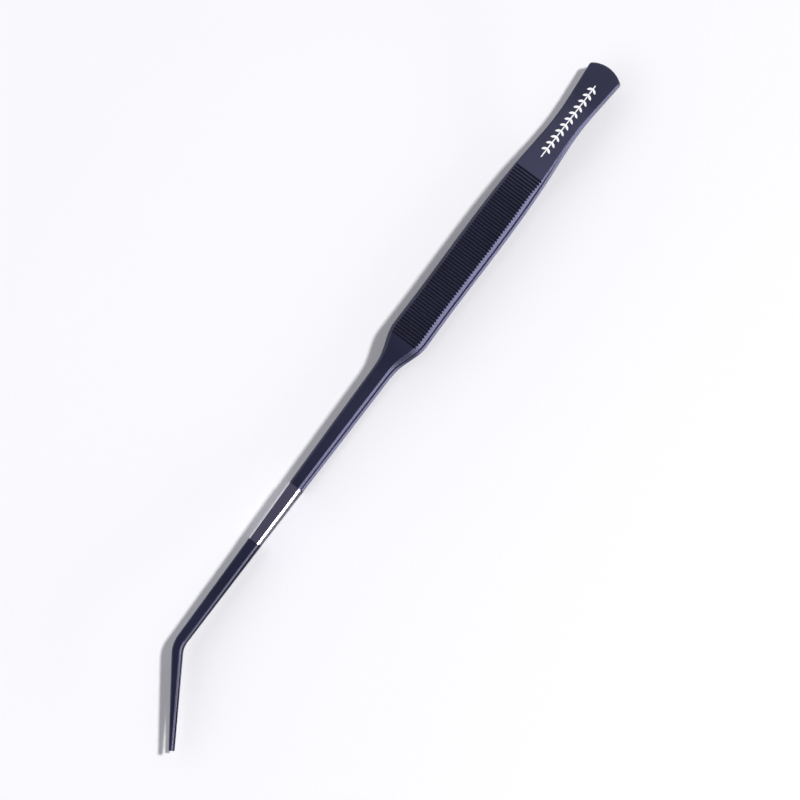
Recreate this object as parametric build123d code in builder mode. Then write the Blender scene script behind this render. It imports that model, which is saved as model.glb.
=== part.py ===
"""Aquascaping tweezers, 270 mm, with a sideways bent tip.

Millimetres. +X runs from the tail to the tip, +Y is the side the tip bends to, +Z is up.
The origin lies on the flat outer face of the lower arm, under the middle of the handle.
Stations are distances from the tail end; heights are measured from the middle plane
between the two arms. Every upper piece is modelled once and mirrored for the lower arm.
"""

from build123d import *
import os
from math import atan2, cos, degrees, radians, sin, tan

os.makedirs("parts", exist_ok=True)

# Handle grooves
GROOVE_COUNT = 63
FIRST_GROOVE = 44.3
GROOVE_PITCH = 1.114
GROOVE_WIDTH = 0.7
GROOVE_FLOOR = 0.14
GROOVE_DEPTH = 0.48

# Stations along the arm
JOINT_END = 14.0
HANDLE_START = 54.0
HANDLE_END = 113.6
SHANK_START = 128.0
SLEEVE_START = 174.0
SLEEVE_END = 196.9
BEND_STATION = 240.0
JAW_START = 248.0
REST_STATION = 87.189

# Tail
TAIL_CORNER = 2.2
TAIL_HALF_WIDTH = 6.2
TAIL_ROUND = 1.2
TAIL_INNER = 0.7
TAIL_OUTER = 2.7
JOINT_INNER = 1.3
JOINT_OUTER = 3.3
RISE_SLOPE = (JOINT_OUTER - TAIL_OUTER) / JOINT_END

# Handle and shank
HANDLE_INNER = 5.9
HANDLE_OUTER = 8.5
HANDLE_BEVEL = 1.3
OUTER_BREAK = 0.45
INNER_BREAK = 0.7
SHANK_INNER = 5.75
SHANK_OUTER = 7.9
SHANK_BEVEL = HANDLE_BEVEL - (HANDLE_OUTER - SHANK_OUTER)
SHANK_HALF_WIDTH = 2.66
SHANK_END_INNER = 5.2
SHANK_END_OUTER = 7.3
SHANK_END_HALF_WIDTH = 2.12
SHANK_TAPER = (SHANK_HALF_WIDTH - SHANK_END_HALF_WIDTH) / (SLEEVE_START - SHANK_START)
SLEEVE_SLOPE = -0.041

# Flank of the blade: (station, half width)
FLANK = (
    (TAIL_CORNER, TAIL_HALF_WIDTH),
    (11.0, 5.37),
    (23.4, 4.56),
    (36.0, 5.07),
    (52.0, 5.92),
    (82.0, 6.1),
    (108.0, 6.13),
    (112.5, 6.02),
    (117.0, 4.82),
    (121.0, 3.46),
    (SHANK_START, SHANK_HALF_WIDTH),
)
TAIL_TANGENT = (1.0, -0.1)

# Sleeve and tenons
SLEEVE_CENTRE = 6.25
SLEEVE_END_CENTRE = 5.35
SLEEVE_HALF = (2.3, 1.32)
SLEEVE_END_HALF = (2.0, 1.22)
SLEEVE_BEVEL = 0.5
BORE_HALF = (1.5, 0.7)
TENON_PLAY = 0.02
TENON_LENGTH = 10.7

# Bent tip
TIP_HALF_WIDTH = 1.92
TIP_START_INNER = 4.35
TIP_START_OUTER = 6.35
BEND_HALF_WIDTH = 1.58
BEND_OUTER = 4.6
BEND_ANGLE = 33.6
OUTER_BEND_RADIUS = 11.0
INNER_BEND_RADIUS = 7.0
POINT_LENGTH = 35.2
POINT_HALF_WIDTH = 0.68
POINT_OUTER = 3.55
POINT_ROUND = 0.35
TIP_BEVEL = 0.42

# Jaw face: flat, and square to its mate when both arms are flexed shut
FLEX_ANGLE = 0.56
JAW_PLAY = 0.015
SERRATION_PITCH = 0.8
SERRATION_DEPTH = 0.16
SERRATION_COUNT = 26

# Tail joint and printed mark
SEAM_WIDTH = 0.9
SPACER_HALF_WIDTH = 4.15
PRINT_THICKNESS = 0.08
MARK_START = 7.5
MARK_END = 37.5
STEM_HALF_WIDTH = 0.2
LEAF_PAIRS = 11
LEAF_LENGTH = 2.1
LEAF_HALF_WIDTH = 0.42
LEAF_ANGLE = 52.0

# Cutting shapes run this far past what they cut
WIDE = 30.0
OVERRUN = 6.0

# A face is level enough to count as an outer or inner face above this cosine
LEVEL = 0.9

PLAN = Plane(origin=(-REST_STATION, 0, HANDLE_OUTER))
SIDE = Plane(origin=(-REST_STATION, 0, HANDLE_OUTER), x_dir=(1, 0, 0), z_dir=(0, -1, 0))
SIDE_CUT = SIDE.offset(-WIDE)
turn = radians(BEND_ANGLE)
JAW_SIDE = Plane(
    origin=(BEND_STATION - REST_STATION, 0, HANDLE_OUTER),
    x_dir=(cos(turn), sin(turn), 0),
    z_dir=(sin(turn), -cos(turn), 0),
)


def eased(start, end, start_slope, end_slope):
    """Curve between two points of the side view with a given slope at each end."""
    third = (end[0] - start[0]) / 3
    near = (start[0] + third, start[1] + third * start_slope)
    far = (end[0] - third, end[1] - third * end_slope)
    return Bezier(start, near, far, end)


def eased_point(start, end, start_slope, end_slope, station):
    """Height and slope of that curve at a station."""
    span = end[0] - start[0]
    u = (station - start[0]) / span
    v = 1 - u
    near = start[1] + span * start_slope / 3
    far = end[1] - span * end_slope / 3
    height = v**3 * start[1] + 3 * v * v * u * near + 3 * v * u * u * far + u**3 * end[1]
    rise = v * v * (near - start[1]) + 2 * v * u * (far - near) + u * u * (end[1] - far)
    return height, 3 * rise / span


def outer_face(station):
    """Height and slope of the arm's outer face at a station on the tail or handle."""
    if station >= HANDLE_START:
        return HANDLE_OUTER, 0.0
    return eased_point(
        (JOINT_END, JOINT_OUTER), (HANDLE_START, HANDLE_OUTER), RISE_SLOPE, 0, station
    )


def jaw_height(station):
    """Height of the jaw face, which comes level when the arm is flexed shut."""
    return (station - JOINT_END) * tan(radians(FLEX_ANGLE)) + JAW_PLAY


def blade_outline():
    """Plan outline from the tail to the start of the shank."""
    with BuildSketch() as outline:
        with BuildLine():
            flank = Spline(*FLANK, tangents=[TAIL_TANGENT, (1, -SHANK_TAPER)])
            front = Line(
                flank @ 1,
                (SHANK_START + OVERRUN, SHANK_HALF_WIDTH - OVERRUN * SHANK_TAPER),
            )
            Line(front @ 1, (SHANK_START + OVERRUN, 0))
            mirror(about=Plane.XZ)
            ThreePointArc(
                (TAIL_CORNER, TAIL_HALF_WIDTH), (0, 0), (TAIL_CORNER, -TAIL_HALF_WIDTH)
            )
        make_face()
    return outline.sketch


def tail_outline():
    """Plan outline of the joined tails."""
    with BuildSketch() as outline:
        add(blade_outline())
        Rectangle(2 * JOINT_END, WIDE, mode=Mode.INTERSECT)
        fillet(outline.vertices().sort_by(Axis.X)[:2], radius=TAIL_ROUND)
    return outline.sketch


def spacer_outline():
    """Plan outline of the spacer, set in from the tails by the width of the seam."""
    corner = (TAIL_CORNER + SEAM_WIDTH, TAIL_HALF_WIDTH - SEAM_WIDTH)
    with BuildSketch() as outline:
        with BuildLine():
            Line(corner, (JOINT_END, SPACER_HALF_WIDTH))
            Line((JOINT_END, SPACER_HALF_WIDTH), (JOINT_END, 0))
            mirror(about=Plane.XZ)
            ThreePointArc(corner, (SEAM_WIDTH, 0), (corner[0], -corner[1]))
        make_face()
    return outline.sketch


def quadrilateral(start, end, start_low, start_high, end_low, end_high):
    """Four-sided outline between two stations."""
    with BuildSketch() as outline:
        with BuildLine():
            Polyline(
                (start, start_low),
                (end, end_low),
                (end, end_high),
                (start, start_high),
                close=True,
            )
        make_face()
    return outline.sketch


def tapered(start, end, start_half, end_half):
    """Plan outline between two stations, even about the long axis."""
    return quadrilateral(start, end, -start_half, start_half, -end_half, end_half)


def raised(spot):
    """The same spot of the side view, higher by the thickness of the print."""
    return (spot[0], spot[1] + PRINT_THICKNESS)


def sleeve_centre(station):
    """Height of the sleeve's straight centre line."""
    share = (station - SLEEVE_START) / (SLEEVE_END - SLEEVE_START)
    return SLEEVE_CENTRE + share * (SLEEVE_END_CENTRE - SLEEVE_CENTRE)


def sloping_bar(start, end, half_width, half_height):
    """Straight bar along the sleeve's centre line."""
    near = sleeve_centre(start)
    far = sleeve_centre(end)
    lows = (near - half_height, far - half_height)
    highs = (near + half_height, far + half_height)
    with BuildPart() as bar:
        with BuildSketch(SIDE):
            add(quadrilateral(start, end, lows[0], highs[0], lows[1], highs[1]))
        extrude(amount=half_width, both=True)
    return bar.part


def tenon(start, end):
    """Tongue that fills the sleeve's bore with a little play all round."""
    return sloping_bar(start, end, BORE_HALF[0] - TENON_PLAY, BORE_HALF[1] - TENON_PLAY)


def long_edges(faces):
    """The edges of some faces that run along the arm."""
    return [
        e
        for face in faces
        for e in face.edges()
        if abs(e.tangent_at(0.5).X) > abs(e.tangent_at(0.5).Y)
    ]


def facing(faces, way):
    """The faces that look up (way 1) or down (way -1)."""
    return faces.filter_by(lambda f: f.normal_at().Z * way > LEVEL)


def bevelled_block():
    """Straight block on the blade outline with the handle's wide bevels."""
    with BuildPart() as block:
        with BuildSketch(PLAN):
            add(blade_outline())
        extrude(amount=HANDLE_OUTER)
        chamfer(long_edges(facing(faces(), 1)), length=HANDLE_BEVEL)
    return block.part


def near_bend(corners):
    """The corners of the tip's outline at its bend, from the outer side to the inner."""
    return corners.filter_by(lambda v: abs(v.X - BEND_STATION) < BEND_HALF_WIDTH).sort_by(Axis.Y)


def leaf():
    """Pointed leaf that grows from its origin."""
    with BuildSketch() as outline:
        with BuildLine():
            ThreePointArc((0, 0), (LEAF_LENGTH / 2, LEAF_HALF_WIDTH), (LEAF_LENGTH, 0))
            ThreePointArc((LEAF_LENGTH, 0), (LEAF_LENGTH / 2, -LEAF_HALF_WIDTH), (0, 0))
        make_face()
    return outline.sketch


# ---------------------------------------------------------------- handle blade
with BuildPart() as blade:
    with BuildSketch(PLAN):
        add(blade_outline())
    extrude(amount=HANDLE_OUTER)
    with BuildSketch(SIDE_CUT):
        with BuildLine():
            Line((0, TAIL_INNER), (JOINT_END, JOINT_INNER))
            eased((JOINT_END, JOINT_INNER), (HANDLE_START, HANDLE_INNER), RISE_SLOPE, 0)
            Line((HANDLE_START, HANDLE_INNER), (HANDLE_END, HANDLE_INNER))
            eased((HANDLE_END, HANDLE_INNER), (SHANK_START, SHANK_INNER), 0, 0)
            Line((SHANK_START, SHANK_INNER), (SHANK_START, SHANK_OUTER))
            eased((SHANK_START, SHANK_OUTER), (HANDLE_END, HANDLE_OUTER), 0, 0)
            Line((HANDLE_END, HANDLE_OUTER), (HANDLE_START, HANDLE_OUTER))
            eased((HANDLE_START, HANDLE_OUTER), (JOINT_END, JOINT_OUTER), 0, RISE_SLOPE)
            Line((JOINT_END, JOINT_OUTER), (0, TAIL_OUTER))
            Line((0, TAIL_OUTER), (0, TAIL_INNER))
        make_face()
    extrude(amount=2 * WIDE, mode=Mode.INTERSECT)
    fillet(edges().filter_by(Axis.Z).sort_by(Axis.X)[:2], radius=TAIL_ROUND)
    chamfer(long_edges(facing(faces(), 1)), length=OUTER_BREAK)
    chamfer(long_edges(facing(faces(), -1)), length=INNER_BREAK)
    add(bevelled_block(), mode=Mode.INTERSECT)

# ---------------------------------------------------------------- slim shank
with BuildPart() as shank:
    with BuildSketch(PLAN):
        add(tapered(SHANK_START, SLEEVE_START, SHANK_HALF_WIDTH, SHANK_END_HALF_WIDTH))
    extrude(amount=HANDLE_OUTER)
    with BuildSketch(SIDE_CUT):
        with BuildLine():
            eased(
                (SHANK_START, SHANK_INNER),
                (SLEEVE_START, SHANK_END_INNER),
                0,
                SLEEVE_SLOPE,
            )
            Line((SLEEVE_START, SHANK_END_INNER), (SLEEVE_START, SHANK_END_OUTER))
            eased(
                (SLEEVE_START, SHANK_END_OUTER),
                (SHANK_START, SHANK_OUTER),
                SLEEVE_SLOPE,
                0,
            )
            Line((SHANK_START, SHANK_OUTER), (SHANK_START, SHANK_INNER))
        make_face()
    extrude(amount=2 * WIDE, mode=Mode.INTERSECT)
    chamfer(long_edges(facing(faces(), 1)), length=SHANK_BEVEL)
    chamfer(long_edges(facing(faces(), -1)), length=INNER_BREAK)

# ---------------------------------------------------------------- complete arm
with BuildPart() as upper_arm:
    add(blade.part)
    add(shank.part)
    add(tenon(SLEEVE_START, SLEEVE_START + TENON_LENGTH))
    with BuildSketch(SIDE_CUT):
        for number in range(GROOVE_COUNT):
            station = FIRST_GROOVE + number * GROOVE_PITCH
            height, slope = outer_face(station)
            flare = (GROOVE_WIDTH - GROOVE_FLOOR) / 2
            with Locations(Location((station, height), degrees(atan2(slope, 1)))):
                Polygon(
                    (-GROOVE_FLOOR / 2, -GROOVE_DEPTH),
                    (GROOVE_FLOOR / 2, -GROOVE_DEPTH),
                    (GROOVE_WIDTH / 2 + flare, GROOVE_DEPTH),
                    (-GROOVE_WIDTH / 2 - flare, GROOVE_DEPTH),
                    align=None,
                )
    extrude(amount=2 * WIDE, mode=Mode.SUBTRACT)

# ---------------------------------------------------------------- polished sleeve
with BuildPart() as upper_sleeve:
    with BuildSketch(PLAN):
        add(tapered(SLEEVE_START, SLEEVE_END, SLEEVE_HALF[0], SLEEVE_END_HALF[0]))
    extrude(amount=HANDLE_OUTER)
    with BuildSketch(SIDE_CUT):
        add(
            quadrilateral(
                SLEEVE_START,
                SLEEVE_END,
                SLEEVE_CENTRE - SLEEVE_HALF[1],
                SLEEVE_CENTRE + SLEEVE_HALF[1],
                SLEEVE_END_CENTRE - SLEEVE_END_HALF[1],
                SLEEVE_END_CENTRE + SLEEVE_END_HALF[1],
            )
        )
    extrude(amount=2 * WIDE, mode=Mode.INTERSECT)
    chamfer(long_edges(facing(faces(), 1)), length=SLEEVE_BEVEL)
    add(
        sloping_bar(SLEEVE_START - OVERRUN, SLEEVE_END + OVERRUN, *BORE_HALF),
        mode=Mode.SUBTRACT,
    )

# ---------------------------------------------------------------- bent tip
half_turn = turn / 2
point = (
    BEND_STATION + POINT_LENGTH * cos(turn),
    POINT_LENGTH * sin(turn),
)
corner_reach = BEND_HALF_WIDTH / cos(half_turn)
corner = (corner_reach * sin(half_turn), corner_reach * cos(half_turn))
point_side = (POINT_HALF_WIDTH * sin(turn), POINT_HALF_WIDTH * cos(turn))
beyond_point = point[0] + OVERRUN

with BuildPart() as upper_tip:
    with BuildSketch(PLAN) as tip_plan:
        with BuildLine():
            Polyline(
                (SLEEVE_END, -TIP_HALF_WIDTH),
                (BEND_STATION + corner[0], -corner[1]),
                (point[0] + point_side[0], point[1] - point_side[1]),
                (point[0] - point_side[0], point[1] + point_side[1]),
                (BEND_STATION - corner[0], corner[1]),
                (SLEEVE_END, TIP_HALF_WIDTH),
                close=True,
            )
        make_face()
        fillet(near_bend(tip_plan.vertices())[0], radius=OUTER_BEND_RADIUS)
        fillet(near_bend(tip_plan.vertices())[-1], radius=INNER_BEND_RADIUS)
    extrude(amount=HANDLE_OUTER)
    with BuildSketch(SIDE_CUT):
        with BuildLine():
            Polyline(
                (SLEEVE_END, TIP_START_OUTER),
                (SLEEVE_END, TIP_START_INNER),
                (JAW_START, jaw_height(JAW_START)),
                (beyond_point, jaw_height(beyond_point)),
                (beyond_point, POINT_OUTER),
                (point[0], POINT_OUTER),
            )
            ThreePointArc(
                (point[0], POINT_OUTER),
                (BEND_STATION, BEND_OUTER),
                (SLEEVE_END, TIP_START_OUTER),
            )
        make_face()
    extrude(amount=2 * WIDE, mode=Mode.INTERSECT)
    chamfer(long_edges(facing(faces(), 1)), length=TIP_BEVEL)
    fillet(edges().filter_by(Axis.Z).sort_by(Axis.X)[-2:], radius=POINT_ROUND)
    add(tenon(SLEEVE_END - TENON_LENGTH, SLEEVE_END))
    with BuildSketch(JAW_SIDE):
        for number in range(SERRATION_COUNT):
            reach = POINT_LENGTH - (number + 0.5) * SERRATION_PITCH
            height = jaw_height(BEND_STATION + reach * cos(turn))
            with Locations((reach, height)):
                Polygon(
                    (-SERRATION_PITCH / 2, -SERRATION_DEPTH),
                    (SERRATION_PITCH / 2, -SERRATION_DEPTH),
                    (0, SERRATION_DEPTH),
                    align=None,
                )
    extrude(amount=OVERRUN, both=True, mode=Mode.SUBTRACT)

# ---------------------------------------------------------------- tail joint
with BuildPart() as tail_spacer:
    with BuildSketch(PLAN):
        add(spacer_outline())
    extrude(amount=HANDLE_OUTER, both=True)
    with BuildSketch(SIDE_CUT):
        add(tapered(0, JOINT_END, TAIL_INNER, JOINT_INNER))
    extrude(amount=2 * WIDE, mode=Mode.INTERSECT)

with BuildPart() as weld_seam:
    with BuildSketch(PLAN):
        add(tail_outline())
        add(spacer_outline(), mode=Mode.SUBTRACT)
    extrude(amount=HANDLE_OUTER, both=True)
    with BuildSketch(SIDE_CUT):
        add(tapered(0, JOINT_END, TAIL_INNER, JOINT_INNER))
    extrude(amount=2 * WIDE, mode=Mode.INTERSECT)

# ---------------------------------------------------------------- printed sprig
with BuildPart() as print_mark:
    with BuildSketch(PLAN):
        with Locations(((MARK_START + MARK_END) / 2, 0)):
            SlotOverall(MARK_END - MARK_START, 2 * STEM_HALF_WIDTH)
        leaf_step = (MARK_END - MARK_START) / (LEAF_PAIRS + 1)
        for number in range(LEAF_PAIRS):
            station = MARK_START + (number + 0.5) * leaf_step
            for side in (1, -1):
                with Locations(Location((station, 0), side * LEAF_ANGLE)):
                    add(leaf())
    extrude(amount=2 * HANDLE_OUTER)
    with BuildSketch(SIDE_CUT):
        tail_top = (0, TAIL_OUTER)
        joint_top = (JOINT_END, JOINT_OUTER)
        handle_top = (HANDLE_START, HANDLE_OUTER)
        with BuildLine():
            Line(tail_top, joint_top)
            eased(joint_top, handle_top, RISE_SLOPE, 0)
            Line(handle_top, raised(handle_top))
            eased(raised(handle_top), raised(joint_top), 0, RISE_SLOPE)
            Line(raised(joint_top), raised(tail_top))
            Line(raised(tail_top), tail_top)
        make_face()
    extrude(amount=2 * WIDE, mode=Mode.INTERSECT)

# ---------------------------------------------------------------- lower arm
with BuildPart() as lower_arm:
    mirror(upper_arm.part, about=PLAN)

with BuildPart() as lower_sleeve:
    mirror(upper_sleeve.part, about=PLAN)

with BuildPart() as lower_tip:
    mirror(upper_tip.part, about=PLAN)

# ---------------------------------------------------------------- write out
PARTS = {
    "upper_arm": upper_arm,
    "lower_arm": lower_arm,
    "upper_sleeve": upper_sleeve,
    "lower_sleeve": lower_sleeve,
    "upper_tip": upper_tip,
    "lower_tip": lower_tip,
    "tail_spacer": tail_spacer,
    "weld_seam": weld_seam,
    "print_mark": print_mark,
}
for name, builder in PARTS.items():
    builder.part.label = name
    export_step(builder.part, f"parts/{name}.step")
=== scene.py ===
"""Looks for the aquascaping tweezers: coating, polished sleeves, print, floor, light, camera."""

import math

import bpy
from mathutils import Matrix, Vector


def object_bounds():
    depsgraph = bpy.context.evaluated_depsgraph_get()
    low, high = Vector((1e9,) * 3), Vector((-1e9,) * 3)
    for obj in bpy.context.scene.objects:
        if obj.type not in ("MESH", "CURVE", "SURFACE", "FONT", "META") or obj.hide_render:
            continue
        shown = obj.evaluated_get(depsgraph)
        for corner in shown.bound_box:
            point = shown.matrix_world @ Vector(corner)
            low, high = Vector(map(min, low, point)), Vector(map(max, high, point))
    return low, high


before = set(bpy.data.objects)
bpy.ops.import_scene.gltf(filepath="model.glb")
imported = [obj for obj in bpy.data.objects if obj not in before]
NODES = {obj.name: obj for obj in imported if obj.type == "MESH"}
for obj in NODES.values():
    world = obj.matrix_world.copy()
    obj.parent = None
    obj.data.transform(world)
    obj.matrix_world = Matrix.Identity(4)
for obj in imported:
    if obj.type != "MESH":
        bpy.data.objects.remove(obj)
cad_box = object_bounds()

LOW = Vector(cad_box[0])
HIGH = Vector(cad_box[1])
SPAN = HIGH - LOW
MIDDLE = (LOW + HIGH) / 2

COATED = (
    "upper_arm",
    "lower_arm",
    "upper_tip",
    "lower_tip",
    "tail_spacer",
    "weld_seam",
)
POLISHED = ("upper_sleeve", "lower_sleeve")
PRINTED = ("print_mark",)

# Coating
COATING_DARK = (0.0055, 0.0060, 0.0180, 1.0)
COATING_LIGHT = (0.0100, 0.0108, 0.0320, 1.0)
COATING_WORN = (0.10, 0.10, 0.15, 1.0)
COATING_ROUGHNESS = (0.25, 0.35)
COATING_GLOSS = 0.68
COATING_TINT = (0.66, 0.66, 1.0, 1.0)
# Painted shade: GROOVE_REACH and the groove colour set how far and how dark the grooves and
# other hollows of the coating are shaded.
GROOVE_REACH = 0.0009
GROOVE_PAINTED_SHADE = (0.0012, 0.0012, 0.0022, 1.0)
COATING_GRAIN_PER_M = 5200.0
COATING_CLOUD_PER_M = 60.0
COATING_RUB_PER_M = 900.0
COATING_RUB_SHARE = 0.55
EDGE_WIDTH = 0.00022
EDGE_COSINE = 0.86

# Polished steel
STEEL_COLOUR = (0.74, 0.73, 0.77, 1.0)
STEEL_ROUGHNESS = (0.12, 0.2)
STEEL_DULL = (0.66, 0.65, 0.69, 1.0)
SMEAR_PER_M = 260.0
BRUSH_PER_M = 4200.0
BRUSH_STRETCH = 0.03

# Print
PRINT_WHITE = (0.86, 0.86, 0.87, 1.0)
PRINT_THIN = (0.66, 0.66, 0.69, 1.0)
PRINT_PATCH_PER_M = 2600.0
PRINT_GRAIN_PER_M = 6000.0
PRINT_ROUGHNESS = (0.45, 0.6)

# Floor
FLOOR_HALF_SIZE = 2.4
FLOOR_GAP = 0.00002
FLOOR_LIGHT = (0.89, 0.89, 0.91, 1.0)
FLOOR_SHADE = (0.86, 0.86, 0.885, 1.0)
FLOOR_GRAIN_PER_M = 900.0
FLOOR_ROUGHNESS = 0.75
FLOOR_GLOSS = 0.2

# Camera: nearly straight above, a little to the side the tip bends to
CAMERA_DISTANCE = 2.4
CAMERA_LEAN = math.radians(5.5)
AXIS_TURN = math.radians(36.94)
VIEW_WIDTH = 0.2656
AIM_SHARE = (0.483, 0.6600, 0.95)
SENSOR_WIDTH = 36.0

# Light
SUN_FROM = Vector((-0.33, 0.27, 1.0))
SUN_STRENGTH = 2.4
SUN_ANGLE = math.radians(5.0)
SUN_COLOUR = (1.0, 0.995, 0.985)
SKY_SHADE_SIDE = (0.8, 0.8, 0.82)
SKY_SUN_SIDE = (0.16, 0.16, 0.17)
SKY_TOP = (0.065, 0.06, 0.11)
SKY_HORIZON = 0.15
SIDE_PLACE = Vector((-0.07, 0.5, 0.035))
SIDE_SIZE = (0.4, 0.08)
SIDE_POWER = 1.6
SIDE_COLOUR = (0.9, 0.88, 1.0)


class Nodes:
    """Short way to add and join shader nodes in one tree."""

    def __init__(self, tree):
        self.tree = tree
        tree.nodes.clear()

    def add(self, kind, **settings):
        node = self.tree.nodes.new(kind)
        for name, value in settings.items():
            setattr(node, name, value)
        return node

    def link(self, source, target):
        self.tree.links.new(source, target)

    def noise(self, vector, scale, detail=2.0, roughness=0.5):
        node = self.add("ShaderNodeTexNoise")
        node.inputs["Scale"].default_value = scale
        node.inputs["Detail"].default_value = detail
        node.inputs["Roughness"].default_value = roughness
        self.link(vector, node.inputs["Vector"])
        return node.outputs["Fac"]

    def ramp(self, value, low, high, start=(0, 0, 0, 1), end=(1, 1, 1, 1)):
        node = self.add("ShaderNodeValToRGB")
        node.color_ramp.elements[0].position = low
        node.color_ramp.elements[1].position = high
        node.color_ramp.elements[0].color = start
        node.color_ramp.elements[1].color = end
        self.link(value, node.inputs["Fac"])
        return node.outputs["Color"]

    def blend_colour(self, amount, first, second):
        node = self.add("ShaderNodeMix", data_type="RGBA")
        self.link(amount, node.inputs["Factor"])
        for value, socket in ((first, node.inputs[6]), (second, node.inputs[7])):
            if isinstance(value, tuple):
                socket.default_value = value
            else:
                self.link(value, socket)
        return node.outputs[2]

    def spread_from(self, value, start, stop, low, high):
        node = self.add("ShaderNodeMapRange")
        node.inputs["From Min"].default_value = start
        node.inputs["From Max"].default_value = stop
        node.inputs["To Min"].default_value = low
        node.inputs["To Max"].default_value = high
        self.link(value, node.inputs["Value"])
        return node.outputs["Result"]

    def spread(self, value, low, high):
        return self.spread_from(value, 0.0, 1.0, low, high)


def new_material(name):
    material = bpy.data.materials.new(name)
    material.use_nodes = True
    nodes = Nodes(material.node_tree)
    output = nodes.add("ShaderNodeOutputMaterial")
    shader = nodes.add("ShaderNodeBsdfPrincipled")
    nodes.link(shader.outputs["BSDF"], output.inputs["Surface"])
    place = nodes.add("ShaderNodeTexCoord").outputs["Object"]
    return material, nodes, shader, place


def edge_mask(nodes, width):
    """1 along sharp edges and 0 on flat faces, from how far a rounded normal leans."""
    rounded = nodes.add("ShaderNodeBevel", samples=6)
    rounded.inputs["Radius"].default_value = width
    true_normal = nodes.add("ShaderNodeNewGeometry").outputs["Normal"]
    dot = nodes.add("ShaderNodeVectorMath", operation="DOT_PRODUCT")
    nodes.link(rounded.outputs["Normal"], dot.inputs[0])
    nodes.link(true_normal, dot.inputs[1])
    lean = nodes.add("ShaderNodeMapRange")
    lean.inputs["From Min"].default_value = 1.0
    lean.inputs["From Max"].default_value = EDGE_COSINE
    nodes.link(dot.outputs["Value"], lean.inputs["Value"])
    return rounded.outputs["Normal"], lean.outputs["Result"]


def bump(nodes, shader, height, strength, distance, normal=None):
    node = nodes.add("ShaderNodeBump")
    node.inputs["Strength"].default_value = strength
    node.inputs["Distance"].default_value = distance
    nodes.link(height, node.inputs["Height"])
    if normal is not None:
        nodes.link(normal, node.inputs["Normal"])
    nodes.link(node.outputs["Normal"], shader.inputs["Normal"])


def coating_material():
    """Near-black navy coating, satin, finely grained, rubbed lighter along its edges, with
    painted shade in its grooves.
    """
    material, nodes, shader, place = new_material("navy_black_coating")
    grain = nodes.noise(place, COATING_GRAIN_PER_M, 3.0, 0.6)
    cloud = nodes.noise(place, COATING_CLOUD_PER_M, 3.0, 0.55)
    tone = nodes.blend_colour(
        nodes.ramp(cloud, 0.35, 0.68), COATING_DARK, COATING_LIGHT
    )
    rounded, edge = edge_mask(nodes, EDGE_WIDTH)
    rub = nodes.ramp(nodes.noise(place, COATING_RUB_PER_M, 4.0, 0.6), 0.40, 0.66)
    wear = nodes.add("ShaderNodeMath", operation="MULTIPLY")
    nodes.link(edge, wear.inputs[0])
    nodes.link(rub, wear.inputs[1])
    share = nodes.add("ShaderNodeMath", operation="MULTIPLY")
    share.inputs[1].default_value = COATING_RUB_SHARE
    nodes.link(wear.outputs[0], share.inputs[0])
    worn = nodes.blend_colour(share.outputs[0], tone, COATING_WORN)
    # Painted shade: where the ambient-occlusion node finds hollows such as the grooves, the
    # coating colour is darkened towards the groove colour.
    open_share = nodes.add("ShaderNodeAmbientOcclusion", samples=8, only_local=True)
    open_share.inputs["Distance"].default_value = GROOVE_REACH
    painted_groove_shade = nodes.ramp(open_share.outputs["AO"], 0.45, 0.85)
    colour = nodes.blend_colour(painted_groove_shade, GROOVE_PAINTED_SHADE, worn)
    nodes.link(colour, shader.inputs["Base Color"])
    nodes.link(nodes.spread(grain, *COATING_ROUGHNESS), shader.inputs["Roughness"])
    shader.inputs["Specular IOR Level"].default_value = COATING_GLOSS
    shader.inputs["Specular Tint"].default_value = COATING_TINT
    bump(nodes, shader, grain, 0.25, 0.00003, rounded)
    return material


def steel_material():
    """Polished stainless steel with faint lines around the sleeve."""
    material, nodes, shader, place = new_material("polished_steel")
    stretch = nodes.add("ShaderNodeMapping")
    stretch.inputs["Scale"].default_value = (1.0, BRUSH_STRETCH, BRUSH_STRETCH)
    nodes.link(place, stretch.inputs["Vector"])
    lines = nodes.noise(stretch.outputs["Vector"], BRUSH_PER_M, 3.0, 0.6)
    smear = nodes.noise(place, SMEAR_PER_M, 3.0, 0.55)
    shader.inputs["Metallic"].default_value = 1.0
    colour = nodes.blend_colour(
        nodes.ramp(smear, 0.35, 0.7), STEEL_COLOUR, STEEL_DULL
    )
    nodes.link(colour, shader.inputs["Base Color"])
    nodes.link(nodes.spread(smear, *STEEL_ROUGHNESS), shader.inputs["Roughness"])
    bump(nodes, shader, lines, 0.12, 0.00002)
    return material


def print_material():
    """White pad print, a little thin in places."""
    material, nodes, shader, place = new_material("white_print")
    patchy = nodes.ramp(nodes.noise(place, PRINT_PATCH_PER_M, 3.0, 0.6), 0.52, 0.74)
    colour = nodes.blend_colour(patchy, PRINT_WHITE, PRINT_THIN)
    nodes.link(colour, shader.inputs["Base Color"])
    fine = nodes.noise(place, PRINT_GRAIN_PER_M, 2.0, 0.5)
    nodes.link(nodes.spread(fine, *PRINT_ROUGHNESS), shader.inputs["Roughness"])
    bump(nodes, shader, fine, 0.15, 0.00002)
    return material


def dress(names, material):
    """Give the named pieces one material."""
    for name in names:
        mesh = NODES[name].data
        mesh.materials.clear()
        mesh.materials.append(material)


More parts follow.
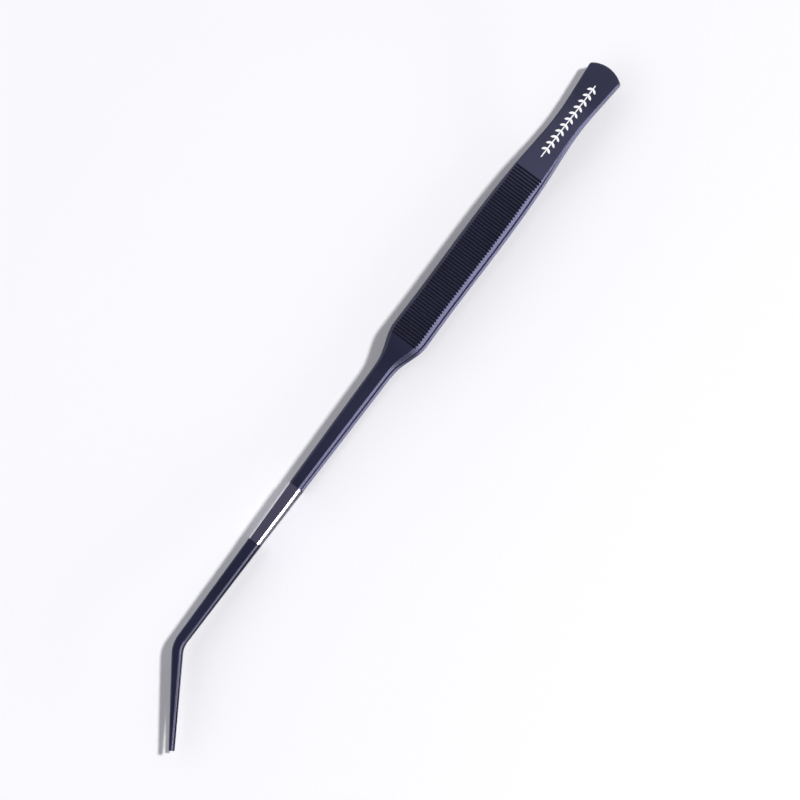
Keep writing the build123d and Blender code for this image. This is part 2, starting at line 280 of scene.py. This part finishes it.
def make_floor():
    """Large pale sheet the tweezers lie on."""
    mesh = bpy.data.meshes.new("floor")
    corners = [
        (MIDDLE.x + x * FLOOR_HALF_SIZE, MIDDLE.y + y * FLOOR_HALF_SIZE, LOW.z - FLOOR_GAP)
        for x, y in ((-1, -1), (1, -1), (1, 1), (-1, 1))
    ]
    mesh.from_pydata(corners, [], [(0, 1, 2, 3)])
    floor = bpy.data.objects.new("floor", mesh)
    bpy.context.scene.collection.objects.link(floor)
    material, nodes, shader, place = new_material("pale_floor")
    paper = nodes.noise(place, FLOOR_GRAIN_PER_M, 4.0, 0.6)
    colour = nodes.blend_colour(paper, FLOOR_SHADE, FLOOR_LIGHT)
    nodes.link(colour, shader.inputs["Base Color"])
    shader.inputs["Roughness"].default_value = FLOOR_ROUGHNESS
    shader.inputs["Specular IOR Level"].default_value = FLOOR_GLOSS
    mesh.materials.append(material)


def point_at(thing, place, target, up_hint=Vector((0, 0, 1))):
    """Stand a light or camera at place so that it looks at target."""
    back = (place - target).normalized()
    right = up_hint.cross(back).normalized()
    up = back.cross(right)
    turn = Matrix((right, up, back)).transposed().to_4x4()
    thing.matrix_world = Matrix.Translation(place) @ turn


def make_camera():
    """Camera above the tweezers, turned so that they run from upper right to lower left."""
    data = bpy.data.cameras.new("camera")
    data.sensor_width = SENSOR_WIDTH
    data.lens = SENSOR_WIDTH * CAMERA_DISTANCE / VIEW_WIDTH
    data.clip_start = 0.01
    camera = bpy.data.objects.new("camera", data)
    bpy.context.scene.collection.objects.link(camera)
    aim = LOW + Vector([s * share for s, share in zip(SPAN, AIM_SHARE)])
    back = Vector((0, math.sin(CAMERA_LEAN), math.cos(CAMERA_LEAN)))
    picture_up = Vector((-math.cos(AXIS_TURN), -math.sin(AXIS_TURN), 0))
    point_at(camera, aim + back * CAMERA_DISTANCE, aim, picture_up)
    bpy.context.scene.camera = camera


def make_sun():
    """Key light, which throws the shadow."""
    data = bpy.data.lights.new("key", "SUN")
    data.energy = SUN_STRENGTH
    data.angle = SUN_ANGLE
    data.color = SUN_COLOUR
    sun = bpy.data.objects.new("key", data)
    bpy.context.scene.collection.objects.link(sun)
    point_at(sun, MIDDLE + SUN_FROM, MIDDLE)


def make_softbox(name, place, size, power, colour):
    """Low rectangular light that picks out the bevels facing it."""
    data = bpy.data.lights.new(name, "AREA")
    data.shape = "RECTANGLE"
    data.size = size[0]
    data.size_y = size[1]
    data.energy = power
    data.color = colour
    box = bpy.data.objects.new(name, data)
    bpy.context.scene.collection.objects.link(box)
    point_at(box, place, MIDDLE)


def make_sky():
    """Pale surroundings: bright on the shadow side, dim on the sun side and overhead."""
    world = bpy.data.worlds.new("studio")
    world.use_nodes = True
    nodes = Nodes(world.node_tree)
    output = nodes.add("ShaderNodeOutputWorld")
    background = nodes.add("ShaderNodeBackground")
    direction = nodes.add("ShaderNodeTexCoord").outputs["Generated"]
    split = nodes.add("ShaderNodeSeparateXYZ")
    nodes.link(direction, split.inputs["Vector"])
    turn = nodes.spread_from(split.outputs["Y"], 0.35, -0.35, 0.0, 1.0)
    ring = nodes.blend_colour(turn, (*SKY_SUN_SIDE, 1.0), (*SKY_SHADE_SIDE, 1.0))
    low = nodes.spread_from(split.outputs["Z"], 0.05, 0.35, SKY_HORIZON, 1.0)
    scaled = nodes.add("ShaderNodeVectorMath", operation="SCALE")
    nodes.link(ring, scaled.inputs[0])
    nodes.link(low, scaled.inputs["Scale"])
    high = nodes.ramp(split.outputs["Z"], 0.8, 0.95)
    shade = nodes.blend_colour(high, scaled.outputs[0], (*SKY_TOP, 1.0))
    nodes.link(shade, background.inputs["Color"])
    nodes.link(background.outputs["Background"], output.inputs["Surface"])
    bpy.context.scene.world = world


dress(COATED, coating_material())
dress(POLISHED, steel_material())
dress(PRINTED, print_material())
make_floor()
make_camera()
make_sky()
make_sun()
make_softbox("side", MIDDLE + SIDE_PLACE, SIDE_SIZE, SIDE_POWER, SIDE_COLOUR)
bpy.context.scene.view_settings.view_transform = "Standard"
